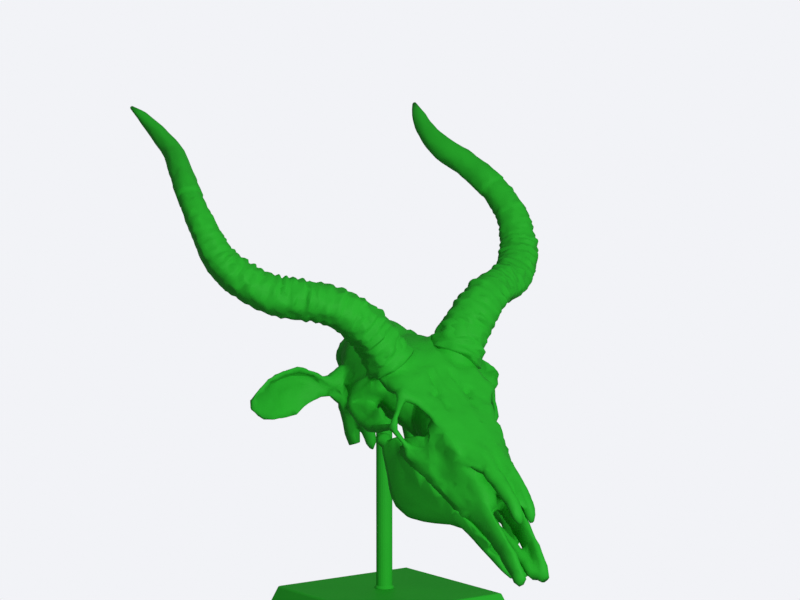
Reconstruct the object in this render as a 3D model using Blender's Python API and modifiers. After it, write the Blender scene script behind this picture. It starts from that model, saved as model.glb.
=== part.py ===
"""Antelope skull with ears, lower jaw and two ringed horns, on a round post and a square base.

Metres, +Z up, snout towards +X, the animal's left towards +Y.
The origin is on the underside of the base, straight under the post.
The skull has a frame of its own, in millimetres: s runs along the forehead to the snout,
y to the left and n up from the forehead. It is pitched nose down at the brow point.
"""
import math

import bmesh
import bpy
import numpy as np
from mathutils import Matrix, Vector, noise

MM = 0.001
GAP = 0.3

# Base and post, in millimetres
BASE_HALF = 68.0
BASE_HEIGHT = 18.0
BASE_FLARE = 6.5
BASE_BEVEL = 1.5
BASE_SHIFT = 7.0
POST_RADIUS = 6.9
POST_FOOT_RADIUS = 8.4
POST_FOOT_HEIGHT = 2.5
POST_TOP = 152.0
POST_SIDES = 24
POST_EASE = 1.2
SEAT_DEPTH = 14.0

# Where the skull stands: the brow point over the base's top, and the pitch, nose down
BROW_FORWARD = 67.0
BROW_HEIGHT = 196.4
PITCH = math.radians(37.0)

# Jaws: height of the parting plane between the upper and the lower jaw
BITE_HEIGHT = -49.0

# Horns: centre line from the root out, as forward, out, over the base's top, then the radius
HORN_ROUTE = (
    (54.0, 32.5, 199.0, 22.2), (50.5, 47.2, 222.3, 19.8), (45.8, 64.6, 238.7, 18.0),
    (38.5, 81.3, 248.2, 16.7), (27.0, 101.0, 253.0, 16.2), (16.0, 121.8, 257.4, 16.5),
    (3.2, 139.8, 268.2, 16.3), (-12.0, 153.8, 285.0, 15.3), (-27.5, 159.4, 308.0, 13.6),
    (-49.5, 158.0, 330.3, 12.1), (-80.0, 149.4, 352.8, 10.8), (-109.5, 139.8, 369.8, 9.6),
    (-132.5, 140.4, 385.0, 7.5), (-151.0, 145.3, 399.5, 4.5), (-160.8, 149.4, 406.5, 1.6),
)
HORN_SIDES = 14
HORN_STEPS = 60
HORN_RIDGES = 20
RIDGE_HEIGHT = 0.8
UNEVEN_HEIGHT = 0.9
SOCKET_GAP = 0.4
SOCKET_RINGS = 15
# The horns are a little flattened: widest across this direction
HORN_FLAT_VIEW = Vector((-0.81, 0.58, -0.1))
HORN_FLATNESS = 0.07

# Ear: distance out from the middle, and its upper and lower edge over the base's top
EAR_OUT = (36.0, 48.5, 57.0, 66.5, 80.0, 99.0, 110.5, 122.0, 128.2)
EAR_TOP = (193.0, 184.0, 185.0, 190.0, 194.8, 191.6, 187.6, 180.0, 172.0)
EAR_BOTTOM = (158.0, 167.5, 166.5, 163.4, 152.8, 150.6, 151.6, 156.6, 163.0)
EAR_NECK_OUT = 50.0
EAR_OPENING_RUN = 20.0
EAR_FORWARD = -12.0
EAR_TIP_START = 90.0
EAR_TIP_FORWARD = 4.0
EAR_ROOT_THICK = 8.0
EAR_BLADE_THICK = 1.8
EAR_CUP = 8.0
EAR_ROLL = 5.0
EAR_STEPS = 24
EAR_SIDES = 14

# Fineness of the fused meshes, in millimetres, and the triangles that are left of them
VOXEL = 1.4
SKULL_TRIANGLES = 4600
JAW_TRIANGLES = 900

GREEN = (0.02, 0.37, 0.025, 1.0)
ROUGHNESS = 0.6

SKULL_FRAME = (
    Matrix.Translation((BROW_FORWARD * MM, 0.0, (BASE_HEIGHT + BROW_HEIGHT) * MM))
    @ Matrix.Rotation(PITCH, 4, "Y")
)


def clear_scene():
    for old in list(bpy.data.objects):
        bpy.data.objects.remove(old, do_unlink=True)


def new_collection(name):
    made = bpy.data.collections.new(name)
    bpy.context.scene.collection.children.link(made)
    return made


def material(name):
    made = bpy.data.materials.new(name)
    made.use_nodes = True
    made.diffuse_color = GREEN
    shader = made.node_tree.nodes["Principled BSDF"]
    shader.inputs["Base Color"].default_value = GREEN
    shader.inputs["Roughness"].default_value = ROUGHNESS
    shader.inputs["Metallic"].default_value = 0.0
    return made


def to_object(name, form, collection, frame=None):
    """Make an object of a bmesh in millimetres, in the world's frame or the skull's."""
    bmesh.ops.recalc_face_normals(form, faces=form.faces)
    form.transform(Matrix.Scale(MM, 4))
    mesh = bpy.data.meshes.new(name)
    form.to_mesh(mesh)
    form.free()
    mesh.materials.append(material(name + "_finish"))
    made = bpy.data.objects.new(name, mesh)
    if frame is not None:
        made.matrix_world = frame
    collection.objects.link(made)
    return made


def to_form(target):
    """The evaluated mesh of an object as a bmesh in millimetres; the object is removed."""
    depsgraph = bpy.context.evaluated_depsgraph_get()
    mesh = bpy.data.meshes.new_from_object(target.evaluated_get(depsgraph))
    form = bmesh.new()
    form.from_mesh(mesh)
    form.transform(Matrix.Scale(1.0 / MM, 4))
    bpy.data.meshes.remove(mesh)
    bpy.data.objects.remove(target, do_unlink=True)
    return form


def as_cutter(name, form, cutters, frame=None):
    cutter = to_object(name, form, cutters, frame)
    cutter.hide_render = True
    cutter.display_type = "WIRE"
    return cutter


def add_remesh(target, name, size):
    made = target.modifiers.new(name, "REMESH")
    made.mode = "VOXEL"
    made.voxel_size = size * MM
    made.adaptivity = 0.0


def add_boolean(target, name, cutter):
    made = target.modifiers.new(name, "BOOLEAN")
    made.operation = "DIFFERENCE"
    made.solver = "EXACT"
    made.object = cutter


def add_smooth(target, rounds):
    made = target.modifiers.new("soften", "SMOOTH")
    made.factor = 0.5
    made.iterations = rounds


def add_decimate(target, triangles):
    """Collapse the fine mesh to about a number of triangles, which leaves soft facets."""
    depsgraph = bpy.context.evaluated_depsgraph_get()
    fine = bpy.data.meshes.new_from_object(target.evaluated_get(depsgraph))
    fine.calc_loop_triangles()
    made = target.modifiers.new("thin_out", "DECIMATE")
    made.ratio = min(1.0, triangles / len(fine.loop_triangles))
    bpy.data.meshes.remove(fine)


def ball(form, centre, radii, turn=0.0, sides=(24, 14)):
    """Add an ellipsoid, turned about y by a number of degrees."""
    place = (
        Matrix.Translation(centre)
        @ Matrix.Rotation(math.radians(turn), 4, "Y")
        @ Matrix.Diagonal((*radii, 1.0))
    )
    bmesh.ops.create_uvsphere(form, u_segments=sides[0], v_segments=sides[1], radius=1.0, matrix=place)


def block(form, low, high):
    """Add a box between two corners."""
    middle = (Vector(low) + Vector(high)) / 2
    place = Matrix.Translation(middle) @ Matrix.Diagonal((*(Vector(high) - Vector(low)), 1.0))
    bmesh.ops.create_cube(form, size=1.0, matrix=place)


def skin(form, rings):
    """Join rings of points, one after the other, to a closed tube with flat ends."""
    rows = [[form.verts.new(point) for point in ring] for ring in rings]
    count = len(rows[0])
    for row, following in zip(rows, rows[1:]):
        for index in range(count):
            after = (index + 1) % count
            form.faces.new((row[index], row[after], following[after], following[index]))
    form.faces.new(list(reversed(rows[0])))
    form.faces.new(rows[-1])


def smooth_route(points, steps):
    """Points of a smooth curve through the given ones; each may carry further values."""
    knots = np.array(points, float)
    lengths = np.linalg.norm(np.diff(knots[:, :3], axis=0), axis=1)
    at = np.concatenate([[0.0], np.cumsum(lengths)])
    slopes = np.gradient(knots, at, axis=0)
    route = []
    for value in np.linspace(0.0, at[-1], steps):
        index = min(int(np.searchsorted(at, value, side="right")) - 1, len(at) - 2)
        span = at[index + 1] - at[index]
        t = (value - at[index]) / span
        start = (2 * t**3 - 3 * t**2 + 1) * knots[index] + (t**3 - 2 * t**2 + t) * span * slopes[index]
        end = (3 * t**2 - 2 * t**3) * knots[index + 1] + (t**3 - t**2) * span * slopes[index + 1]
        route.append(start + end)
    return np.array(route)


def limb(form, points, steps=10, sides=12, side=1, flat=1.0):
    """Add a limb through (s, y, n, radius) points; flat widens it sideways, side -1 mirrors it."""
    route = smooth_route(points, steps)
    route[:, 1] *= side
    rings = []
    for index, (x, y, z, radius) in enumerate(route):
        before = Vector(route[max(index - 1, 0)][:3])
        after = Vector(route[min(index + 1, steps - 1)][:3])
        along = (after - before).normalized()
        deep = along.cross(Vector((0.0, 1.0, 0.0))).normalized()
        wide = deep.cross(along).normalized()
        ring = []
        for turn in range(sides):
            angle = 2.0 * math.pi * turn / sides
            offset = wide * (math.cos(angle) * radius * flat) + deep * (math.sin(angle) * radius)
            ring.append(Vector((x, y, z)) + offset)
        rings.append(ring)
    skin(form, rings)


def shell(form, stations, sides=28, power=2.6):
    """Add a body of rounded sections: (s, half width, top, bottom)."""
    rings = []
    for s, half, top, bottom in stations:
        middle = 0.5 * (top + bottom)
        tall = 0.5 * (top - bottom)
        ring = []
        for turn in range(sides):
            across = math.cos(2.0 * math.pi * turn / sides)
            up = math.sin(2.0 * math.pi * turn / sides)
            y = half * math.copysign(abs(across) ** (2.0 / power), across)
            n = middle + tall * math.copysign(abs(up) ** (2.0 / power), up)
            ring.append(Vector((s, y, n)))
        rings.append(ring)
    skin(form, rings)


def blade(form, stations, side=1, sides=16, power=3.0):
    """Add an upright blade: (s, y, top, bottom, half thickness)."""
    rings = []
    for s, y, top, bottom, thick in stations:
        ring = []
        for turn in range(sides):
            across = math.cos(2.0 * math.pi * turn / sides)
            up = math.sin(2.0 * math.pi * turn / sides)
            out = y + thick * math.copysign(abs(across) ** (2.0 / power), across)
            tall = 0.5 * (top - bottom) * math.copysign(abs(up) ** (2.0 / power), up)
            ring.append(Vector((s, side * out, 0.5 * (top + bottom) + tall)))
        rings.append(ring)
    skin(form, rings)


def add_braincase(form):
    ball(form, (-50, 0, -45), (42.5, 35, 34.5), turn=8, sides=(32, 20))
    ball(form, (-79, 0, -58), (18, 25, 22))
    ball(form, (-14, 0, -38), (36, 25, 24), turn=10)
    shell(form, [(-66, 16, -52, -78), (-30, 17, -48, -76), (0, 12, -40, -66), (30, 9, -30, -57),
                 (62, 10, -20, -50)])


def add_forehead(form):
    """The broad flat roof between the horns and over the orbits."""
    shell(form, [(-56, 22, -14, -36), (-42, 32, -5, -32), (-24, 41, 3, -24), (-4, 44, 5, -17),
                 (14, 45, 3.5, -12), (28, 47, 2.5, -8), (34, 42, 2.2, -8), (42, 35, 2, -8),
                 (54, 31, 1.5, -10), (66, 30, 1, -16), (78, 27.5, 0.5, -22), (94, 22, 0, -26)], power=3.2)


def add_face(form):
    """Face from between the orbits to where the snout parts, narrower below than above."""
    shell(form, [(14, 13, -4, -46), (30, 16, -2, -50), (46, 20, 0, -50), (60, 25, 0.5, -50),
                 (76, 25, 0.5, -50), (92, 24, 0, -50), (106, 21.5, -0.5, -50), (118, 17, -4, -49.5),
                 (126, 13, -10, -49)], power=3.2)
    shell(form, [(56, 29, 0, -20), (66, 30, 0.5, -26), (78, 28.5, 0.5, -30), (92, 25.5, 0, -32),
                 (106, 22, -0.5, -34), (116, 18, -3, -34)], power=2.8)


def add_cheek(form, side):
    """Tooth-bearing lower edge of the upper jaw and the flare to the cheek strut."""
    blade(form, [(45, 38, -31, -50, 3), (53, 37.5, -28, -50, 4), (62, 35, -26, -50, 5),
                 (72, 32, -27, -50, 5), (84, 29, -33, -50, 4.6), (96, 26.2, -33, -50, 4.4),
                 (110, 23.4, -30, -50, 4), (126, 19.4, -25, -50, 3.6)], side)
    ball(form, (60, side * 32, -36), (14, 9, 13), turn=-30)


def add_snout(form, side):
    """A nasal bone, the blade of bone under it, the nose's floor and the palate's strip."""
    limb(form, [(84, 8, -7, 7), (104, 8.4, -6.4, 7.2), (124, 7.8, -6.2, 7.0), (142, 7.0, -7.0, 6.2),
                (155, 6.4, -9.0, 5.4), (164, 6.0, -12.6, 4.0), (168, 5.8, -15.2, 2.2)],
         steps=16, sides=14, side=side)
    blade(form, [(104, 20, -17, -50, 5), (122, 17.6, -18, -49.4, 4.2), (142, 15.2, -23, -47.4, 3.4),
                 (158, 14.2, -26.4, -46.4, 3.2), (173, 13.4, -28.8, -46.6, 3.4), (186, 12.8, -32, -48.4, 4.2),
                 (196, 12.2, -35.6, -50, 4.8), (202.4, 11.8, -39.6, -49.4, 3.8)], side, power=2.2)
    limb(form, [(96, 12, -17, 4.5), (118, 11.6, -18.4, 4.2), (132, 9.6, -22, 3.4), (139, 7.6, -26, 2.4)],
         side=side, flat=2.0)
    limb(form, [(112, 7, -45, 4), (128, 3.6, -45.4, 2.6), (146, 3.0, -45.6, 2.4), (160, 4.4, -45.8, 2.5),
                (172, 5.8, -46, 3.0), (186, 7, -46.6, 4), (196, 8, -46.8, 4.4)], side=side, flat=1.3)


def add_orbit_rim(form, side):
    """Rim of the orbit, the free bar behind it, the cheek strut and the arch back to the skull."""
    limb(form, [(24, 44, -2.6, 4.6), (30, 42, -2.4, 3.8), (37, 36, -2.4, 3.2), (45, 31.4, -2.4, 3.0),
                (56, 28.6, -3, 3.0), (66, 27, -6, 3.4)], steps=14, side=side)
    limb(form, [(25, 43.5, -3, 5.6), (30, 46.4, -5.4, 3.8), (34, 48.5, -12, 2.6), (38, 51, -18, 2.5),
                (41, 52.2, -24, 3.6)], steps=12, sides=10, side=side)
    limb(form, [(38, 52, -24, 3.2), (45, 50, -27.5, 2.5), (52, 45, -31.5, 2.6), (58, 39.5, -36, 4.2),
                (66, 33, -38, 7)], steps=12, sides=10, side=side)
    limb(form, [(43, 52, -23, 3.0), (35, 50.5, -30, 3.2), (24, 47.5, -42.5, 3.6), (11, 43.5, -54, 4.2),
                (-6, 40, -62.4, 5.4), (-22, 36.5, -65, 7)], steps=16, side=side)


def add_temple(form, side):
    """Crest behind the temple, the horn's bony root and the side of the skull behind it."""
    limb(form, [(20, 43.5, -4, 4.6), (6, 44, -9, 4.0), (-8, 44.5, -17.4, 4.0), (-20, 43, -30, 4.0),
                (-28, 40, -46, 4.4), (-28, 38, -59, 5.2), (-22, 36, -67, 6)], steps=18, side=side)
    ball(form, (-22, side * 40, -13), (26, 23, 15), turn=4)
    ball(form, (-12, side * 36, -13), (26, 22, 14))
    ball(form, (-34, side * 27, -48), (22, 11, 28), turn=10)


def add_skull_base(form, side):
    """Ear bulb, the two prongs under the ear and the seat of the jaw's joint."""
    ball(form, (-24, side * 25, -78), (12, 9, 11))
    ball(form, (-34, side * 33, -74), (9, 7, 12), turn=20)
    limb(form, [(-36, 33, -71, 10), (-30, 31.4, -83, 9.2), (-20, 29.6, -92.6, 8.4), (-12.6, 28.6, -98.4, 7.4)],
         side=side, flat=0.6)
    limb(form, [(-14, 28, -70, 9), (-6, 26.4, -79, 7.4), (0.5, 24.6, -86.5, 4.4), (2.8, 24, -90.6, 2.0)],
         side=side, flat=0.8)
    limb(form, [(-26, 30, -62, 9), (-6, 33, -56, 7), (10, 36.5, -47.6, 4.2), (22, 38.5, -43.6, 3.4)],
         side=side)


def ear_point(out, edge, front):
    """A point of the ear's skin: edge runs -1 at its lower edge to 1 at the upper, front is 1 or -1."""
    top = float(np.interp(out, EAR_OUT, EAR_TOP))
    bottom = float(np.interp(out, EAR_OUT, EAR_BOTTOM))
    opening = min(1.0, max(0.0, (out - EAR_NECK_OUT) / EAR_OPENING_RUN))
    bulge = math.sqrt(max(0.0, 1.0 - edge * edge))
    thick = (1.0 - opening) * EAR_ROOT_THICK * bulge + opening * EAR_BLADE_THICK
    tip = max(0.0, (out - EAR_TIP_START) / (EAR_OUT[-1] - EAR_TIP_START))
    cup = EAR_CUP * opening * (1.0 - edge * edge) * (1.0 - tip)
    roll = EAR_ROLL * opening * max(0.0, edge) ** 3
    forward = EAR_FORWARD + EAR_TIP_FORWARD * tip
    height = 0.5 * (top + bottom) + 0.5 * (top - bottom) * edge
    return Vector((forward + front * thick - cup + roll, out, BASE_HEIGHT + height))


def add_ear(form, side):
    """A spoon of thin skin with its upper edge rolled forwards, drawn in the world's frame."""
    place = Matrix.Translation((BROW_FORWARD, 0.0, BASE_HEIGHT + BROW_HEIGHT)) @ Matrix.Rotation(PITCH, 4, "Y")
    to_skull = place.inverted()
    edges = [-math.cos(math.pi * index / (EAR_SIDES - 1)) for index in range(EAR_SIDES)]
    rings = []
    for out in np.linspace(EAR_OUT[0], EAR_OUT[-1], EAR_STEPS):
        front = [ear_point(out, edge, 1) for edge in edges[1:-1]]
        back = [ear_point(out, edge, -1) for edge in reversed(edges)]
        ring = [Vector((point.x, side * point.y, point.z)) for point in front + back]
        rings.append([to_skull @ point for point in ring])
    skin(form, rings)


def build_core(cutters):
    """The skull's body with its hollows cut, as a bmesh."""
    form = bmesh.new()
    add_braincase(form)
    add_forehead(form)
    add_face(form)
    for side in (1, -1):
        add_cheek(form, side)
        add_snout(form, side)
    core = to_object("core", form, cutters, SKULL_FRAME)
    add_remesh(core, "fuse", VOXEL)
    add_boolean(core, "hollow", skull_hollows(cutters))
    return to_form(core)


def skull_hollows(cutters):
    """Orbits, slit under the nasal bones, nose passage, palate slots and brow openings."""
    form = bmesh.new()
    for side in (1, -1):
        ball(form, (48, side * 37, -17), (20, 20, 14.5), turn=20)
        ball(form, (28, side * 42, -24), (26, 26, 19), turn=25)
        ball(form, (136, side * 13, -13.6), (38, 6.5, 3.0), turn=6)
        ball(form, (118, side * 19, -13.4), (18, 6, 1.9), turn=10)
        ball(form, (33, side * 17.5, 1.5), (3.4, 1.6, 3.0), turn=30, sides=(12, 8))
    shell(form, [(88, 9, -12, -16), (110, 9, -12, -17), (150, 6, -14, -20), (180, 6, -16, -24)])
    shell(form, [(112, 7, -26, -40), (140, 9, -27, -42), (168, 8, -30, -42), (190, 6.5, -34, -43),
                 (210, 3.2, -36, -70)])
    hollows = as_cutter("skull_hollows", form, cutters, SKULL_FRAME)
    add_remesh(hollows, "fuse", VOXEL)
    return hollows


def build_skull(collection, cutters):
    form = build_core(cutters)
    for side in (1, -1):
        add_orbit_rim(form, side)
        add_temple(form, side)
        add_skull_base(form, side)
        add_ear(form, side)
    skull = to_object("skull", form, collection, SKULL_FRAME)
    add_remesh(skull, "fuse", VOXEL)
    add_smooth(skull, 3)
    add_decimate(skull, SKULL_TRIANGLES)
    bite = bmesh.new()
    block(bite, (30, -60, BITE_HEIGHT - 40), (150, 60, BITE_HEIGHT))
    add_boolean(skull, "bite", as_cutter("upper_bite", bite, cutters, SKULL_FRAME))
    for side, name in ((1, "left"), (-1, "right")):
        socket = bmesh.new()
        skin(socket, horn_rings(side, SOCKET_GAP, SOCKET_RINGS))
        add_boolean(skull, "socket_" + name, as_cutter("socket_" + name, socket, cutters))
    seat = bmesh.new()
    low = POST_TOP - SEAT_DEPTH
    middle = Matrix.Translation((0.0, 0.0, BASE_HEIGHT + 0.5 * (low + POST_TOP + SOCKET_GAP)))
    bmesh.ops.create_cone(
        seat, cap_ends=True, segments=POST_SIDES, radius1=POST_RADIUS + SOCKET_GAP,
        radius2=POST_RADIUS + SOCKET_GAP, depth=POST_TOP + SOCKET_GAP - low, matrix=middle,
    )
    add_boolean(skull, "post_seat", as_cutter("post_seat", seat, cutters))
    return skull


def add_jaw_side(form, side):
    """The broad plate of one side, its joint knob and the thin rail to the chin."""
    blade(form, [(28, 36, -53, -67, 3.4), (33, 36, -44, -71, 3.2), (38, 35.6, -42, -75, 3),
                 (46, 35, -42, -81.6, 3), (56, 34.2, -46, -91, 3.2), (66, 32.6, -46, -94.4, 3.4),
                 (80, 29.8, -46, -92.5, 3.6), (94, 27, -46, -83.5, 3.6), (107, 24.2, -46, -73, 3.4),
                 (118, 21.6, -46, -63.6, 3.4), (128, 19.2, -46, -57.4, 3.2)], side)
    ball(form, (22.5, side * 36, -58), (6.4, 7, 5.8))
    blade(form, [(118, 22.6, -46, -60, 3.4), (128, 20.0, -46, -56.6, 3.2), (138, 17.6, -46, -56.8, 3),
                 (145, 16.2, -47, -57.2, 2.6), (152, 14.6, -52.6, -57.6, 2.4), (159, 13.2, -51.6, -57.4, 2.6),
                 (168, 11.6, -48.6, -57.0, 2.8), (178, 9.8, -52, -56.8, 2.8), (188, 7.6, -50.4, -55.4, 3)],
          side, power=2.4)


def build_jaw(collection, cutters):
    """Two flat plates that narrow to thin rails and meet in a spoon at the chin."""
    form = bmesh.new()
    for side in (1, -1):
        add_jaw_side(form, side)
    shell(form, [(137, 14, -54.4, -57), (150, 13, -54.8, -57.6), (164, 10, -54.2, -57.4), (180, 8, -53, -57),
                 (189, 6, -52, -55.6)])
    jaw = to_object("jaw", form, collection, SKULL_FRAME)
    add_remesh(jaw, "fuse", VOXEL)
    add_smooth(jaw, 3)
    add_decimate(jaw, JAW_TRIANGLES)
    bite = bmesh.new()
    block(bite, (44, -60, BITE_HEIGHT - GAP), (149, 60, BITE_HEIGHT + 30))
    add_boolean(jaw, "bite", as_cutter("lower_bite", bite, cutters, SKULL_FRAME))
    return jaw


def ridge(at):
    """Height of the horn's rings along its length: none in the root, gone near the tip."""
    fade = min(1.0, max(0.0, (0.72 - at) / 0.2)) * min(1.0, max(0.0, (at - 0.04) / 0.08))
    return fade * math.sin(2.0 * math.pi * HORN_RIDGES * at)


def horn_rings(side, extra, count):
    """Rings of a horn's skin from the root out, a little flattened, with ridges and uneven facets.

    Extra makes the skin thicker and starts it a little further back, for a socket.
    """
    route = smooth_route(HORN_ROUTE, HORN_STEPS)
    start = Vector(route[0][:3]) - Vector(route[1][:3])
    route[0][:3] += np.array(start.normalized()) * extra
    rings = []
    for index in range(count):
        x, y, z, radius = route[index]
        before = Vector(route[max(index - 1, 0)][:3])
        after = Vector(route[min(index + 1, HORN_STEPS - 1)][:3])
        along = (after - before).normalized()
        wide = along.cross(HORN_FLAT_VIEW).normalized()
        deep = along.cross(wide)
        at = index / (HORN_STEPS - 1)
        root = min(1.0, max(0.0, (at - 0.05) / 0.1))
        ring = []
        for turn in range(HORN_SIDES):
            across = math.cos(2.0 * math.pi * turn / HORN_SIDES)
            up = math.sin(2.0 * math.pi * turn / HORN_SIDES)
            uneven = noise.noise(Vector((at * 60.0, across * 1.6, up * 1.6))) * root * min(1.0, radius / 8.0)
            reach = radius + extra + RIDGE_HEIGHT * ridge(at) + UNEVEN_HEIGHT * uneven
            out = wide * (across * (1.0 + HORN_FLATNESS)) + deep * (up * (1.0 - HORN_FLATNESS))
            point = Vector((x, y, z)) + out * reach
            ring.append(Vector((point.x, side * point.y, point.z + BASE_HEIGHT)))
        rings.append(ring)
    return rings


def build_horn(name, side, collection):
    form = bmesh.new()
    skin(form, horn_rings(side, 0.0, HORN_STEPS))
    return to_object(name, form, collection)


def build_post(collection):
    """Round post with a small flared foot and an eased top edge."""
    foot = BASE_HEIGHT + GAP
    top = BASE_HEIGHT + POST_TOP
    profile = [
        (0.0, top), (POST_RADIUS - POST_EASE, top), (POST_RADIUS, top - POST_EASE),
        (POST_RADIUS, foot + POST_FOOT_HEIGHT), (POST_FOOT_RADIUS, foot + 0.8),
        (POST_FOOT_RADIUS, foot), (0.0, foot),
    ]
    form = bmesh.new()
    verts = [form.verts.new((radius, 0.0, z)) for radius, z in profile]
    for first, second in zip(verts, verts[1:]):
        form.edges.new((first, second))
    post = to_object("post", form, collection)
    turned = post.modifiers.new("turn", "SCREW")
    turned.steps = POST_SIDES
    turned.render_steps = POST_SIDES
    turned.use_merge_vertices = True
    turned.merge_threshold = 0.00005
    return post


def build_base(collection):
    """Square plate, wider at its underside, with a bevelled top edge."""
    form = bmesh.new()
    place = Matrix.Translation((BASE_SHIFT, 0.0, BASE_HEIGHT / 2)) @ Matrix.Rotation(math.pi / 4, 4, "Z")
    bmesh.ops.create_cone(
        form, cap_ends=True, segments=4, radius1=(BASE_HALF + BASE_FLARE) * math.sqrt(2.0),
        radius2=BASE_HALF * math.sqrt(2.0), depth=BASE_HEIGHT, matrix=place,
    )
    base = to_object("base", form, collection)
    rounded = base.modifiers.new("rounded", "BEVEL")
    rounded.width = BASE_BEVEL * MM
    rounded.segments = 2
    rounded.limit_method = "ANGLE"
    rounded.angle_limit = math.radians(30)
    return base


def main():
    clear_scene()
    collection = new_collection("antelope_skull")
    cutters = new_collection("cutters")
    build_skull(collection, cutters)
    build_jaw(collection, cutters)
    build_horn("horn_left", 1, collection)
    build_horn("horn_right", -1, collection)
    build_post(collection)
    build_base(collection)


main()
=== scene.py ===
"""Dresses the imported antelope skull: sculpted bone, ringed horns, green resin, pale studio.

The skull has a frame of its own, in millimetres: s runs along the forehead to the snout,
y to the animal's left and n up from the forehead. Everything else is in the row's frame.
"""

import math

import bmesh
import bpy
import numpy as np
from mathutils import Matrix, Vector, noise


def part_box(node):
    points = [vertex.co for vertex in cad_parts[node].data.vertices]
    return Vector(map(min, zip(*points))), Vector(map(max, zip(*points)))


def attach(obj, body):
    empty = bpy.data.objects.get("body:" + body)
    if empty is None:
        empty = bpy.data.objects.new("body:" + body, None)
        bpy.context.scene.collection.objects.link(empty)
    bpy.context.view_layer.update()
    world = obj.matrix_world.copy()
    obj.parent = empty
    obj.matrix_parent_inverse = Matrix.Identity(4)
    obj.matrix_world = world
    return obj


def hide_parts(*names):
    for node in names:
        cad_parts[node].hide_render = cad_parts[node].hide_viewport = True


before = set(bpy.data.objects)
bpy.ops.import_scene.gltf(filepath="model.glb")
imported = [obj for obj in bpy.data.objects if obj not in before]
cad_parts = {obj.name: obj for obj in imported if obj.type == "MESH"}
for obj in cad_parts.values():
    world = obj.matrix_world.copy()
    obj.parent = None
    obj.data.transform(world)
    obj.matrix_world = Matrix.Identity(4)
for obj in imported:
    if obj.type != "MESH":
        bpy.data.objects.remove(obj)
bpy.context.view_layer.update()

MM = 0.001
BASE_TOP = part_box("base")[1].z / MM

# The skull's own frame: its brow point over the base's top, and its pitch, nose down
BROW_FORWARD = 67.0
BROW_HEIGHT = 196.4
PITCH = math.radians(37.0)
BROW_PLACE = Matrix.Translation((BROW_FORWARD, 0.0, BASE_TOP + BROW_HEIGHT))
SKULL_PLACE = BROW_PLACE @ Matrix.Rotation(PITCH, 4, "Y")

# Indexes of the axes of the skull's frame
ALONG = 0
ACROSS = 1
UP = 2

# The photograph's camera: its place is in millimetres over the base's top, its focal length in pixels
PHOTO_WIDTH = 800
FOCAL_PIXELS = 2553.0
SENSOR_WIDTH = 36.0
CAMERA_PLACE = Vector((1737.3, -1244.4, 449.8))
CAMERA_RIGHT = Vector((0.5874, 0.8093, 0.0))
CAMERA_DOWN = Vector((0.0769, -0.0558, -0.9955))
CAMERA_AHEAD = Vector((-0.8057, 0.5847, -0.095))
CAMERA_REACH = 100.0

# Horns: centre line from the root out, as forward, out, over the base's top, then the radius
HORN_ROUTE = (
    (54.0, 32.5, 199.0, 22.2), (50.5, 47.2, 222.3, 19.8), (45.8, 64.6, 238.7, 18.0),
    (38.5, 81.3, 248.2, 16.7), (27.0, 101.0, 253.0, 16.2), (16.0, 121.8, 257.4, 16.5),
    (3.2, 139.8, 268.2, 16.3), (-12.0, 153.8, 285.0, 15.3), (-27.5, 159.4, 308.0, 13.6),
    (-49.5, 158.0, 330.3, 12.1), (-80.0, 149.4, 352.8, 10.8), (-109.5, 139.8, 369.8, 9.6),
    (-132.5, 140.4, 385.0, 7.5), (-151.0, 145.3, 399.5, 4.5), (-160.8, 149.4, 406.5, 1.6),
)
HORN_SIDES = 72
HORN_STEPS = 430
HORN_TRIANGLES = 5200

# The horn's section is a little wider across this direction than along it
HORN_FLAT_VIEW = Vector((-0.81, 0.58, -0.1))
HORN_FLATNESS = 0.07

# Growth rings: they end at a share of the horn's length, and fade out before it
RING_SEED = 7
RING_COUNT = 30
RING_SHARE = 0.64
RING_FADE = 0.22
RING_HEIGHT = 2.2
RING_SINK = 0.9
RING_GAPS = (0.75, 1.25)
RING_STRENGTHS = (0.55, 1.0)
RING_LEAN = 0.7
RING_SHARPNESS = 1.4

# Rings break up round the horn, by the middle, swing and limits of a noise, and stand out more on its front
BREAK_MIDDLE = 0.8
BREAK_SWING = 1.8
BREAK_LIMITS = (0.1, 1.3)
BREAK_SCALE = 1.7
FRONT_LEAST = 0.7
FRONT_GAIN = 0.7

# The flattened underside: its direction, where its facet starts and how far it is cut, and its calmer rings
UNDER_WAY = Vector((0.15, 0.75, -0.65))
UNDER_CUT = 0.86
UNDER_STRENGTH = 0.85
UNDER_CALM_START = 0.65
UNDER_CALM_BLEND = 0.2
UNDER_CALM = 0.7

# Lumps and broad swells of the horn: heights in millimetres, noise scales along and round it, shift by side
LUMP_HEIGHT = 1.4
LUMP_ALONG = 75.0
LUMP_ROUND = 2.2
LUMP_SHIFT = 9.0
LUMP_END = 0.85
LUMP_BLEND = 0.5
SWELL_HEIGHT = 0.8
SWELL_ALONG = 26.0
SWELL_ROUND = 1.3
SWELL_SHIFT = 3.0
THIN_RADIUS = 8.0
FOLD_SHARE = 0.17
FOLD_GAIN = 1.2

# Fineness of the sculpted meshes, in millimetres, and the triangles that are left of them
VOXEL = 0.9
SKULL_TRIANGLES = 11000
JAW_TRIANGLES = 1700
SMOOTH_ROUNDS = 2

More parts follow.
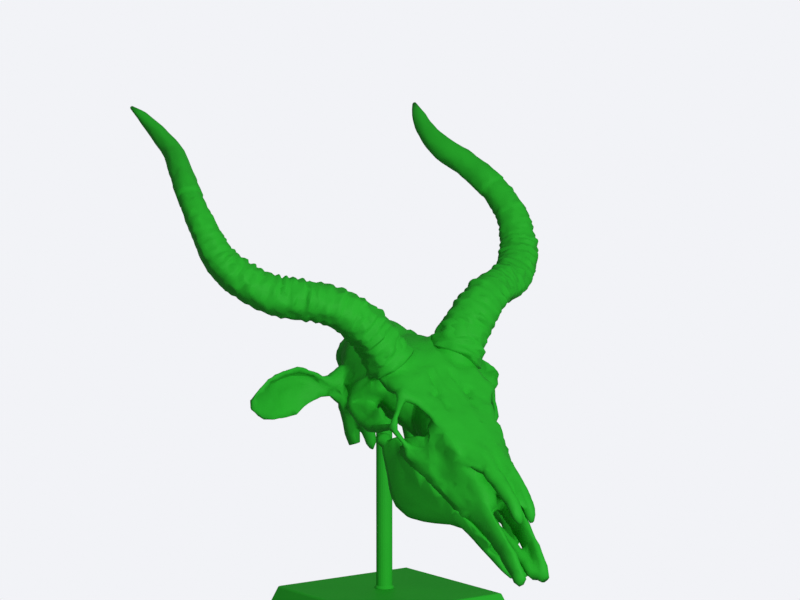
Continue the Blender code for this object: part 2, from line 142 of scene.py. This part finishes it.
# Sculpted marks in the skull's frame, the same on both sides: s, y out from the middle, n.
# A dab has a radius and a height, a crease a half width and a height; a height below 0 goes in.
# The dabs start with the brow's foramen and end with lumps on the temple wall.
DABS = (
    ((32.0, 16.5, 1.0), 4.6, -7.0), ((36.5, 15.5, 1.5), 3.6, -5.0), ((27.0, 16.0, 1.5), 4.0, 1.5),
    ((60.0, 41.0, -39.0), 9.0, 2.0), ((60.0, 33.0, -18.0), 8.0, -2.2), ((84.0, 29.0, -22.0), 14.0, -2.0),
    ((20.0, 40.0, 0.0), 9.0, 1.0), ((44.0, 26.0, 1.0), 9.0, -1.0), ((8.0, 8.0, 4.0), 10.0, 0.9),
    ((-10.0, 6.0, 5.0), 12.0, 0.8), ((62.0, 6.0, 1.0), 16.0, 0.6), ((92.0, 18.0, -2.0), 11.0, -0.8),
    ((66.0, 33.0, -32.0), 9.0, 1.0), ((80.0, 28.0, -22.0), 12.0, -1.5), ((100.0, 23.0, -40.0), 10.0, 0.8),
    ((96.0, 24.0, -20.0), 8.0, 0.9), ((112.0, 20.0, -24.0), 7.0, -0.8), ((-12.0, 37.0, -52.0), 9.0, 1.4),
    ((-4.0, 34.0, -45.0), 5.0, -1.2), ((2.0, 33.0, -56.0), 5.0, 1.2), ((-24.0, 34.0, -44.0), 6.0, 1.0),
)

# Brow groove, ridge beside it, tail of the foramen, crease and rim of the ear, ridge in front of the orbit,
# cheek ridge, then fine lines on nose, cheek and snout, and the seam along the middle
CREASES = (
    (((8.0, 11.0, 5.0), (14.0, 9.6, 4.2), (20.0, 10.0, 3.4), (27.0, 11.2, 3.2), (32.0, 12.5, 3.2)),
     1.9, -2.6),
    (((10.0, 6.4, 5.0), (20.0, 6.6, 4.4), (30.0, 8.2, 3.6)), 2.4, 1.4),
    (((36.0, 15.5, 1.5), (42.0, 14.5, 1.8), (50.0, 14.0, 1.2)), 1.9, -2.0),
    (((-53.0, 105.0, -59.0), (-57.6, 90.4, -58.1), (-58.3, 75.2, -58.0), (-55.8, 65.8, -60.0),
      (-49.6, 58.3, -61.9), (-42.7, 47.9, -64.5), (-35.0, 38.8, -67.5)), 2.4, -3.4),
    (((-53.0, 105.0, -53.0), (-57.0, 90.0, -52.0), (-57.0, 75.0, -52.0), (-53.0, 62.0, -55.0)), 2.2, 1.4),
    (((60.0, 33.0, -12.0), (65.6, 33.3, -17.7), (72.0, 33.5, -25.0), (78.0, 32.8, -30.5)), 2.6, 1.5),
    (((60.0, 41.0, -37.0), (70.0, 38.0, -36.5), (84.0, 33.5, -38.0), (100.0, 29.5, -40.0),
      (118.0, 24.5, -38.0)), 2.6, 1.5),
    (((96.0, 8.0, 0.5), (112.0, 7.4, 0.5), (126.0, 7.0, 0.0)), 1.4, 0.5),
    (((88.0, 22.0, -4.0), (98.0, 20.5, -8.0), (106.0, 19.0, -12.0)), 1.5, -0.8),
    (((63.0, 37.0, -43.0), (89.0, 31.0, -44.0), (117.0, 24.0, -39.0), (128.0, 20.0, -46.0)), 2.2, 0.9),
    (((58.0, 37.0, -30.0), (66.0, 35.0, -34.0), (76.0, 32.0, -40.0), (90.0, 28.0, -40.0)), 2.0, -0.9),
    (((110.0, 20.0, -24.0), (120.0, 18.0, -30.0), (132.0, 17.0, -36.0)), 1.8, -0.6),
    (((-2.0, 0.0, 6.0), (20.0, 0.0, 4.0), (60.0, 0.0, 1.0), (110.0, 0.0, 0.0)), 1.2, -0.35),
)

# The burr round the horn's root, in millimetres: how far out, how wide, how high, how far along, how uneven
RIM_OUT = 2.6
RIM_WIDTH = 2.4
RIM_HEIGHT = 1.5
RIM_REACH = 26.0
RIM_EVEN = 0.75
RIM_UNEVEN = 0.9
RIM_GRAIN = 7.0
RIM_SHIFT = 3.0

# Unevenness of all the bone, as height, grain and shift of its noise
UNEVEN_BONE = ((1.0, 11.0, 0.0), (0.5, 4.5, 5.0))

# The collar behind the horn's root: flush with the horn where s is below its end, buried below its start
COLLAR_STEPS = 120
COLLAR_ROOT_STEPS = 40
COLLAR_START = 7.0
COLLAR_END = 13.0
COLLAR_BLEND = 7.0
COLLAR_FROM_MIDDLE = 34.0
COLLAR_PROUD = 0.2
COLLAR_DEPTH = 4.5
COLLAR_REACH = 26.0

# Rounded hollows by centre and radii: bone inside is pushed along an axis, one way or the other
HOLLOWS = (
    ((3.0, 52.0, -21.0), (20.0, 15.0, 10.5), UP, 1.0),
    ((2.0, 44.0, -29.0), (24.0, 24.0, 17.0), ACROSS, -1.0),
)

# Flat bone added to the cheek, in front of the orbit, to the upper jaw and the temple: outer corners, inset
BONE_PLATES = (
    (((43.0, 40.5, -37.0), (58.0, 35.0, -20.0), (71.0, 34.5, -30.0), (66.0, 36.5, -41.0),
      (55.0, 39.0, -38.0)), 3.0),
    (((54.0, 30.0, -5.0), (58.0, 35.0, -21.0), (64.0, 37.0, -36.0), (84.0, 32.0, -39.0),
      (102.0, 27.5, -36.0), (106.0, 22.5, -18.0), (94.0, 24.5, -6.0), (72.0, 29.0, -3.0)), 8.0),
    (((88.0, 31.0, -42.0), (88.0, 28.0, -32.0), (126.0, 20.5, -30.0), (128.0, 20.5, -48.0),
      (92.0, 30.0, -48.0)), 5.0),
    (((-66.0, 27.0, -36.0), (-62.0, 22.0, -16.0), (-28.0, 32.0, -14.0), (-16.0, 38.0, -24.0),
      (-26.0, 43.0, -48.0), (-34.0, 42.0, -56.0), (-48.0, 38.0, -58.0), (-62.0, 33.0, -54.0)), 14.0),
)
PLATE_LEAN = 0.3

# The rod of bone under the palate, and a direction that it doesn't run in
PALATE_ROD = (
    (146.0, 4.0, -46.0, 3.0), (158.0, 5.0, -46.0, 4.0), (176.0, 6.0, -46.0, 4.6), (190.0, 7.0, -46.0, 5.0),
)
ROD_SIDES = 10
ROD_ASIDE = Vector((0.31, 0.2, 0.93))

# Strips along the jaw's tooth row, from the back to the front
JAW_PLATES = (
    (((45.0, 39.8, -41.0), (44.0, 37.8, -58.0), (66.0, 35.8, -58.0), (66.0, 38.2, -45.0)), 4.0),
    (((64.0, 38.6, -45.0), (64.0, 36.0, -58.0), (80.0, 33.2, -58.0), (80.0, 34.3, -45.0)), 4.0),
    (((78.0, 34.7, -45.0), (78.0, 33.5, -58.0), (107.0, 27.6, -58.0), (107.0, 27.7, -45.0)), 4.0),
    (((105.0, 28.1, -45.0), (105.0, 27.9, -58.0), (128.0, 22.8, -55.0), (128.0, 22.6, -45.0)), 4.0),
    (((126.0, 23.0, -45.0), (126.0, 23.2, -55.5), (158.0, 14.8, -54.5), (158.0, 16.5, -44.5)), 4.0),
)

# The bony core in the horn: steps of its route, how many of them it reaches, and its share of the thickness
CORE_STEPS = 40
CORE_REACH = 9
CORE_FILL = (0.8, 0.88, 0.95, 0.95, 0.92)

# Light: a key from the front right, its azimuth counted from +X, in metres, and an even glow all round
KEY_AZIMUTH = -10.0
KEY_ELEVATION = 20.0
KEY_DISTANCE = 2.2
KEY_POWER = 48.0
KEY_SIZE = 0.7
KEY_AIM = Vector((0.02, 0.0, 0.25))
FILL_STRENGTH = 0.22

# The studio's floor and dome, in millimetres
STUDIO_RADIUS = 30000.0
DOME_RADIUS = 29000.0
FLOOR_DEPTH = 2.0

# Colours, as linear values
BONE_GREEN = (0.020, 0.385, 0.022, 1.0)
DEEP_GREEN = (0.016, 0.325, 0.020, 1.0)
STUDIO_PALE = (0.888, 0.896, 0.930, 1.0)
FILL_PALE = (0.95, 0.97, 1.0, 1.0)

# Matte resin: broad clouds and fine specks per metre, roughness and its swing, shine and grain
CLOUD_SCALE = 22.0
SPECK_SCALE = 420.0
RESIN_ROUGHNESS = 0.6
ROUGHNESS_SWING = 0.12
RESIN_SHINE = 0.06
RESIN_GRAIN = 0.12
GRAIN_DEPTH = 0.0003

# Sockets of the Mix node when it mixes colours
MIX_SHARE = 0
MIX_FIRST = 6
MIX_SECOND = 7
MIX_RESULT = 2


class Shade:
    """A shader socket that takes part in sums: an expression on sockets adds its Math nodes."""

    def __init__(self, tree, socket):
        self.tree = tree
        self.socket = socket

    def node(self, kind, settings=None, inputs=None):
        """Add a node: settings come first, then values or links for its sockets."""
        made = self.tree.nodes.new(kind)
        for name, value in (settings or {}).items():
            setattr(made, name, value)
        for name, value in (inputs or {}).items():
            if isinstance(value, Shade):
                self.tree.links.new(value.socket, made.inputs[name])
            else:
                made.inputs[name].default_value = value
        return made

    def take(self, made, output):
        return Shade(self.tree, made.outputs[output])

    def sum(self, operation, first, second):
        made = self.node("ShaderNodeMath", {"operation": operation}, {0: first, 1: second})
        return self.take(made, 0)

    def __add__(self, other):
        return self.sum("ADD", self, other)

    def __radd__(self, other):
        return self.sum("ADD", other, self)

    def __mul__(self, other):
        return self.sum("MULTIPLY", self, other)

    def __rmul__(self, other):
        return self.sum("MULTIPLY", other, self)


def resin(name):
    """Matte cast resin: a little mottled, with a faint grain."""
    made = bpy.data.materials.new(name)
    made.use_nodes = True
    tree = made.node_tree
    shader = tree.nodes["Principled BSDF"]
    here = Shade(tree, None)
    place = here.take(here.node("ShaderNodeTexCoord"), "Object")
    clouds = here.node("ShaderNodeTexNoise", None, {"Vector": place, "Scale": CLOUD_SCALE, "Detail": 3.0})
    specks = here.node("ShaderNodeTexNoise", None, {"Vector": place, "Scale": SPECK_SCALE, "Detail": 2.0})
    cloud = here.take(clouds, 0)
    speck = here.take(specks, 0)
    greens = {MIX_SHARE: cloud, MIX_FIRST: BONE_GREEN, MIX_SECOND: DEEP_GREEN}
    colour = here.node("ShaderNodeMix", {"data_type": "RGBA"}, greens)
    tree.links.new(colour.outputs[MIX_RESULT], shader.inputs["Base Color"])
    rough = RESIN_ROUGHNESS - ROUGHNESS_SWING / 2.0 + speck * ROUGHNESS_SWING
    tree.links.new(rough.socket, shader.inputs["Roughness"])
    relief = {"Height": speck, "Strength": RESIN_GRAIN, "Distance": GRAIN_DEPTH}
    bump = here.node("ShaderNodeBump", None, relief)
    tree.links.new(bump.outputs[0], shader.inputs["Normal"])
    shader.inputs["Specular IOR Level"].default_value = RESIN_SHINE
    return made


def finish_piece(piece, node, finish):
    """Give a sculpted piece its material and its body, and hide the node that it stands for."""
    piece.data.materials.clear()
    piece.data.materials.append(finish)
    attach(piece, "root")
    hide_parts(node)
    return piece


def new_object(name, form, smooth=True):
    """Make an object of a bmesh in millimetres, in the row's frame."""
    bmesh.ops.recalc_face_normals(form, faces=form.faces)
    form.transform(Matrix.Scale(MM, 4))
    mesh = bpy.data.meshes.new(name)
    form.to_mesh(mesh)
    form.free()
    if smooth:
        mesh.shade_smooth()
    made = bpy.data.objects.new(name, mesh)
    bpy.context.scene.collection.objects.link(made)
    return made


def apply_modifiers(target):
    """Put the evaluated mesh in the object's place and drop its modifiers."""
    depsgraph = bpy.context.evaluated_depsgraph_get()
    mesh = bpy.data.meshes.new_from_object(target.evaluated_get(depsgraph))
    target.modifiers.clear()
    target.data = mesh


def fuse(target):
    """Turn overlapping shells into one closed surface of small squares."""
    made = target.modifiers.new("fuse", "REMESH")
    made.mode = "VOXEL"
    made.voxel_size = VOXEL * MM
    made.adaptivity = 0.0
    apply_modifiers(target)


def soften(target):
    made = target.modifiers.new("soften", "SMOOTH")
    made.factor = 0.5
    made.iterations = SMOOTH_ROUNDS
    apply_modifiers(target)


def thin_out(target, triangles):
    """Collapse the fine mesh to about a number of triangles, which leaves soft facets."""
    target.data.calc_loop_triangles()
    made = target.modifiers.new("thin_out", "DECIMATE")
    made.ratio = min(1.0, triangles / len(target.data.loop_triangles))
    apply_modifiers(target)
    target.data.shade_smooth()


def cad_form(node):
    """A CAD node's mesh as a closed bmesh in millimetres, in the row's frame."""
    form = bmesh.new()
    form.from_mesh(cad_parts[node].data)
    bmesh.ops.remove_doubles(form, verts=form.verts, dist=1e-6)
    form.transform(Matrix.Scale(1.0 / MM, 4))
    return form


def skin(form, rings):
    """Join rings of points, one after the other, to a closed tube with flat ends."""
    rows = [[form.verts.new(point) for point in ring] for ring in rings]
    count = len(rows[0])
    for row, following in zip(rows, rows[1:]):
        for index in range(count):
            after = (index + 1) % count
            form.faces.new((row[index], row[after], following[after], following[index]))
    form.faces.new(list(reversed(rows[0])))
    form.faces.new(rows[-1])


def smooth_route(points, steps):
    """Points of a smooth curve through the given ones; each may carry further values."""
    knots = np.array(points, float)
    lengths = np.linalg.norm(np.diff(knots[:, :3], axis=0), axis=1)
    at = np.concatenate([[0.0], np.cumsum(lengths)])
    slopes = np.gradient(knots, at, axis=0)
    route = []
    for value in np.linspace(0.0, at[-1], steps):
        index = min(int(np.searchsorted(at, value, side="right")) - 1, len(at) - 2)
        span = at[index + 1] - at[index]
        t = (value - at[index]) / span
        start = (2 * t**3 - 3 * t**2 + 1) * knots[index] + (t**3 - 2 * t**2 + t) * span * slopes[index]
        end = (3 * t**2 - 2 * t**3) * knots[index + 1] + (t**3 - t**2) * span * slopes[index + 1]
        route.append(start + end)
    return np.array(route)


def clamp(value, low=0.0, high=1.0):
    return min(high, max(low, value))


def ring_heights():
    """Height of the growth rings at each step of the horn: uneven spacing, steep towards the root."""
    rng = np.random.default_rng(RING_SEED)
    gaps = rng.uniform(*RING_GAPS, RING_COUNT)
    edges = np.concatenate([[0.0], np.cumsum(gaps)]) / gaps.sum() * RING_SHARE
    strengths = rng.uniform(*RING_STRENGTHS, RING_COUNT)
    heights = []
    for at in np.linspace(0.0, 1.0, HORN_STEPS):
        index = int(np.searchsorted(edges, at, side="right")) - 1
        if index >= RING_COUNT:
            heights.append(0.0)
            continue
        t = (at - edges[index]) / (edges[index + 1] - edges[index])
        swell = math.sin(math.pi * t ** RING_LEAN) ** RING_SHARPNESS
        fade = min(1.0, (RING_SHARE - at) / RING_FADE)
        heights.append(swell * strengths[index] * fade)
    return heights


def horn_reach(at, radius, ring, side, across, up, facing, front):
    """Distance of the horn's surface from its centre line, at a share of its length and a turn round it."""
    where = Vector((at * SWELL_ALONG + side * SWELL_SHIFT, across * SWELL_ROUND, up * SWELL_ROUND))
    broken = clamp(BREAK_MIDDLE + BREAK_SWING * noise.noise(where * BREAK_SCALE), *BREAK_LIMITS)
    broken *= 1.0 - UNDER_CALM * clamp((facing - UNDER_CALM_START) / UNDER_CALM_BLEND)
    broken *= FRONT_LEAST + FRONT_GAIN * max(0.0, front)
    reach = radius + RING_HEIGHT * ring * broken - RING_SINK * (ring > 0.0)
    lump = noise.noise(Vector((at * LUMP_ALONG + side * LUMP_SHIFT, across * LUMP_ROUND, up * LUMP_ROUND)))
    lively = clamp((LUMP_END - at) / LUMP_BLEND)
    fold = 1.0 + FOLD_GAIN * max(0.0, 1.0 - at / FOLD_SHARE)
    swell = noise.noise(where)
    reach += (LUMP_HEIGHT * lump * lively * fold + SWELL_HEIGHT * swell) * min(1.0, radius / THIN_RADIUS)
    if facing > UNDER_CUT:
        reach += UNDER_STRENGTH * (reach * UNDER_CUT / facing - reach)
    return reach


def build_horn(name, side):
    """Loft the horn along its route, ring by ring; side is 1 for the left horn and -1 for the right one."""
    route = smooth_route(HORN_ROUTE, HORN_STEPS)
    heights = ring_heights()
    form = bmesh.new()
    rings = []
    for index, (x, y, z, radius) in enumerate(route):
        before = Vector(route[max(index - 1, 0)][:3])
        after = Vector(route[min(index + 1, HORN_STEPS - 1)][:3])
        along = (after - before).normalized()
        wide = along.cross(HORN_FLAT_VIEW).normalized()
        deep = along.cross(wide)
        under = (UNDER_WAY - along * along.dot(UNDER_WAY)).normalized()
        at = index / (HORN_STEPS - 1)
        ring = []
        for turn in range(HORN_SIDES):
            across = math.cos(2.0 * math.pi * turn / HORN_SIDES)
            up = math.sin(2.0 * math.pi * turn / HORN_SIDES)
            out = wide * (across * (1.0 + HORN_FLATNESS)) + deep * (up * (1.0 - HORN_FLATNESS))
            way = out.normalized()
            reach = horn_reach(at, radius, heights[index], side, across, up, way.dot(under), way.x)
            point = Vector((x, y, z)) + out * reach
            ring.append(Vector((point.x, side * point.y, point.z + BASE_TOP)))
        rings.append(ring)
    skin(form, rings)
    horn = new_object(name, form)
    thin_out(horn, HORN_TRIANGLES)
    return horn


def distance_to_route(points, route):
    """Distance of each point to a line through the route's corners."""
    best = np.full(len(points), 1e9)
    for start, end in zip(route, route[1:]):
        run = np.array(end) - np.array(start)
        along = np.clip((points - np.array(start)) @ run / (run @ run), 0.0, 1.0)
        best = np.minimum(best, np.linalg.norm(points - np.array(start) - along[:, None] * run, axis=1))
    return best


def read_points(target):
    """Vertices and normals of a mesh, in the skull's frame and in millimetres."""
    count = len(target.data.vertices)
    points = np.empty(count * 3)
    normals = np.empty(count * 3)
    target.data.vertices.foreach_get("co", points)
    target.data.vertices.foreach_get("normal", normals)
    turn = np.array(SKULL_PLACE.to_3x3())
    points = (points.reshape(-1, 3) / MM - np.array(SKULL_PLACE.translation)) @ turn
    return points, normals.reshape(-1, 3) @ turn


def write_points(target, points):
    turn = np.array(SKULL_PLACE.to_3x3())
    world = (points @ turn.T + np.array(SKULL_PLACE.translation)) * MM
    target.data.vertices.foreach_set("co", world.reshape(-1))
    target.data.update()


def to_skull(point):
    """A point of the row's frame, as forward, out, over the base's top, in the skull's frame."""
    return SKULL_PLACE.inverted() @ Vector((point[0], point[1], point[2] + BASE_TOP))


def horn_rim(mirrored):
    """Height of the burr round the horn's root, from the distance to the root's axis."""
    root = np.array(to_skull(HORN_ROUTE[0][:3]))
    later = np.array(to_skull(HORN_ROUTE[1][:3]))
    axis = (later - root) / np.linalg.norm(later - root)
    offset = mirrored - root
    reach = offset @ axis
    away = np.linalg.norm(offset - reach[:, None] * axis, axis=1)
    near = np.exp(-((away - HORN_ROUTE[0][3] - RIM_OUT) / RIM_WIDTH) ** 2)
    return RIM_HEIGHT * near * (np.abs(reach) < RIM_REACH)


def uneven(points, grain, shift):
    """Soft noise over a set of points, about -1 to 1."""
    moved = Vector((shift, 0.0, 0.0))
    return np.array([noise.noise(Vector(point) / grain + moved) for point in points])


def tuck_collar(mirrored):
    """Moves that draw the collar behind the horn's root in, under the horn's own surface."""
    route = smooth_route(HORN_ROUTE, COLLAR_STEPS)[:COLLAR_ROOT_STEPS]
    centres = np.array([to_skull(place[:3]) for place in route])
    gaps = np.linalg.norm(mirrored[:, None, :] - centres[None], axis=2)
    nearest = np.argmin(gaps, axis=1)
    away = gaps[np.arange(len(mirrored)), nearest]
    deep = np.clip((COLLAR_START - mirrored[:, ALONG]) / COLLAR_BLEND, 0.0, 1.0)
    inner = route[nearest, 3] + COLLAR_PROUD - COLLAR_DEPTH * deep
    share = np.clip((COLLAR_END - mirrored[:, ALONG]) / COLLAR_BLEND, 0.0, 1.0)
    share = share * np.clip((mirrored[:, ACROSS] - COLLAR_FROM_MIDDLE) / COLLAR_BLEND, 0.0, 1.0)
    share = share * np.clip((inner + COLLAR_REACH - away) / COLLAR_BLEND, 0.0, 1.0) * (away > inner)
    pull = (inner - away) * share / away
    return (mirrored - centres[nearest]) * pull[:, None]


def press_hollows(points, mirrored):
    """Push the vertices inside each hollow along its axis, to its surface."""
    for centre, radii, axis, way in HOLLOWS:
        squares = ((mirrored - np.array(centre)) / np.array(radii)) ** 2
        inside = squares.sum(axis=1) < 1.0
        room = np.sqrt(np.clip(1.0 - squares.sum(axis=1) + squares[:, axis], 0.0, 1.0))
        moved = centre[axis] + way * radii[axis] * room
        if axis == ACROSS:
            moved = moved * np.sign(points[:, ACROSS])
        points[inside, axis] = moved[inside]


def mark_heights(points, mirrored):
    """Height of the burrs, dabs, creases and unevenness at each vertex."""
    height = horn_rim(mirrored) * (RIM_EVEN + RIM_UNEVEN * uneven(points, RIM_GRAIN, RIM_SHIFT))
    for centre, radius, rise in DABS:
        away = np.linalg.norm(mirrored - np.array(centre), axis=1) / radius
        height += rise * np.clip(1.0 - away**2, 0.0, None) ** 2
    for route, width, rise in CREASES:
        away = distance_to_route(mirrored, route)
        height += rise * np.exp(-((away / width) ** 2))
    height += sum(rise * uneven(points, grain, shift) for rise, grain, shift in UNEVEN_BONE)
    return height


def sculpt_skull(target):
    """Draw the collars in, press the hollows and raise the marks on the fused skull."""
    points, normals = read_points(target)
    mirrored = points.copy()
    mirrored[:, ACROSS] = np.abs(mirrored[:, ACROSS])
    tuck = tuck_collar(mirrored)
    tuck[:, ACROSS] *= np.sign(points[:, ACROSS])
    points += tuck
    press_hollows(points, mirrored)
    height = mark_heights(points, mirrored)
    write_points(target, points + normals * height[:, None])


def plate(form, corners, side, inset):
    """Add a flat piece of bone: the hull of its outer corners (s, y, n) and the same ones further in."""
    lean = PLATE_LEAN * inset
    points = []
    for s, y, n in corners:
        points.append(SKULL_PLACE @ Vector((s, side * y, n)))
        points.append(SKULL_PLACE @ Vector((s - lean, side * (y - inset), n - lean)))
    verts = [form.verts.new(point) for point in points]
    made = bmesh.ops.convex_hull(form, input=verts)
    spare = made["geom_interior"] + made["geom_unused"]
    loose = {item for item in spare if isinstance(item, bmesh.types.BMVert)}
    bmesh.ops.delete(form, geom=list(loose), context="VERTS")


def palate_rod(form, side):
    """Add the rod of bone under the palate."""
    rings = []
    last = len(PALATE_ROD) - 1
    for index, (s, y, n, radius) in enumerate(PALATE_ROD):
        before = Vector(PALATE_ROD[max(index - 1, 0)][:3])
        after = Vector(PALATE_ROD[min(index + 1, last)][:3])
        along = (after - before).normalized()
        wide = along.cross(ROD_ASIDE).normalized()
        deep = along.cross(wide)
        ring = []
        for turn in range(ROD_SIDES):
            angle = 2.0 * math.pi * turn / ROD_SIDES
            point = Vector((s, y, n)) + (wide * math.cos(angle) + deep * math.sin(angle)) * radius
            ring.append(SKULL_PLACE @ Vector((point.x, side * point.y, point.z)))
        rings.append(ring)
    skin(form, rings)


def horn_core(form, side):
    """Add balls of bone along the horn's root, which its sheath sits on."""
    for index, (x, y, z, radius) in enumerate(smooth_route(HORN_ROUTE, CORE_STEPS)[:CORE_REACH]):
        share = CORE_FILL[min(index, len(CORE_FILL) - 1)]
        place = Matrix.Translation((x, side * y, z + BASE_TOP)) @ Matrix.Scale(radius * share, 4)
        bmesh.ops.create_uvsphere(form, u_segments=24, v_segments=14, radius=1.0, matrix=place)


def build_skull(finish):
    form = cad_form("skull")
    for side in (1, -1):
        horn_core(form, side)
        for corners, inset in BONE_PLATES:
            plate(form, corners, side, inset)
        palate_rod(form, side)
    skull = new_object("skull_bone", form)
    fuse(skull)
    soften(skull)
    sculpt_skull(skull)
    thin_out(skull, SKULL_TRIANGLES)
    return finish_piece(skull, "skull", finish)


def build_jaw(finish):
    form = cad_form("jaw")
    for side in (1, -1):
        for corners, inset in JAW_PLATES:
            plate(form, corners, side, inset)
    jaw = new_object("jaw_bone", form)
    fuse(jaw)
    soften(jaw)
    thin_out(jaw, JAW_TRIANGLES)
    return finish_piece(jaw, "jaw", finish)


def dress_plain_nodes(finish):
    """Give the post and the base their finish: their solids are seen as they are."""
    for node in ("post", "base"):
        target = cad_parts[node]
        target.data.materials.clear()
        target.data.materials.append(finish)


def build_studio():
    """Pale floor under a glowing dome, a soft key from the front right and an even fill."""
    form = bmesh.new()
    place = Matrix.Translation((0.0, 0.0, -FLOOR_DEPTH / 2.0))
    round_slab = {"radius1": STUDIO_RADIUS, "radius2": STUDIO_RADIUS, "depth": FLOOR_DEPTH}
    bmesh.ops.create_cone(form, cap_ends=True, segments=96, matrix=place, **round_slab)
    floor = new_object("studio_floor", form, smooth=False)
    dome_form = bmesh.new()
    bmesh.ops.create_uvsphere(dome_form, u_segments=64, v_segments=32, radius=DOME_RADIUS)
    dome = new_object("studio_dome", dome_form)
    pale = bpy.data.materials.new("studio_pale")
    pale.use_nodes = True
    tree = pale.node_tree
    here = Shade(tree, None)
    glow = here.node("ShaderNodeEmission", None, {"Color": STUDIO_PALE, "Strength": 1.0})
    tree.links.new(glow.outputs[0], tree.nodes["Material Output"].inputs["Surface"])
    for target in (floor, dome):
        target.data.materials.append(pale)
        target.visible_diffuse = False
        target.visible_glossy = False
        target.visible_shadow = False
    world = bpy.data.worlds.new("studio_fill")
    world.use_nodes = True
    world.node_tree.nodes["Background"].inputs["Color"].default_value = FILL_PALE
    world.node_tree.nodes["Background"].inputs["Strength"].default_value = FILL_STRENGTH
    bpy.context.scene.world = world
    add_key()


def add_key():
    """A square soft light without shadows that looks at the skull."""
    lamp = bpy.data.lights.new("studio_key", "AREA")
    lamp.energy = KEY_POWER
    lamp.size = KEY_SIZE
    lamp.use_shadow = False
    made = bpy.data.objects.new("studio_key", lamp)
    turn = math.radians(KEY_AZIMUTH)
    rise = math.radians(KEY_ELEVATION)
    away = Vector((math.cos(rise) * math.cos(turn), math.cos(rise) * math.sin(turn), math.sin(rise)))
    made.location = KEY_AIM + away * KEY_DISTANCE
    made.rotation_euler = away.to_track_quat("Z", "Y").to_euler()
    bpy.context.scene.collection.objects.link(made)


def build_camera():
    """Set the camera at the photograph's view."""
    lens = bpy.data.cameras.new("photo_camera")
    lens.sensor_width = SENSOR_WIDTH
    lens.lens = SENSOR_WIDTH * FOCAL_PIXELS / PHOTO_WIDTH
    lens.clip_end = CAMERA_REACH
    camera = bpy.data.objects.new("photo_camera", lens)
    turned = Matrix((CAMERA_RIGHT, -CAMERA_DOWN, -CAMERA_AHEAD)).transposed().to_4x4()
    place = (CAMERA_PLACE + Vector((0.0, 0.0, BASE_TOP))) * MM
    camera.matrix_world = Matrix.Translation(place) @ turned
    bpy.context.scene.collection.objects.link(camera)
    bpy.context.scene.camera = camera


def main():
    bone = resin("bone_resin")
    horn_resin = resin("horn_resin")
    stand_resin = resin("stand_resin")
    build_camera()
    build_studio()
    build_skull(bone)
    build_jaw(bone)
    for name, side in (("horn_left", 1), ("horn_right", -1)):
        finish_piece(build_horn(name + "_sheath", side), name, horn_resin)
    dress_plain_nodes(stand_resin)
    bpy.context.scene.view_settings.view_transform = "Standard"


main()
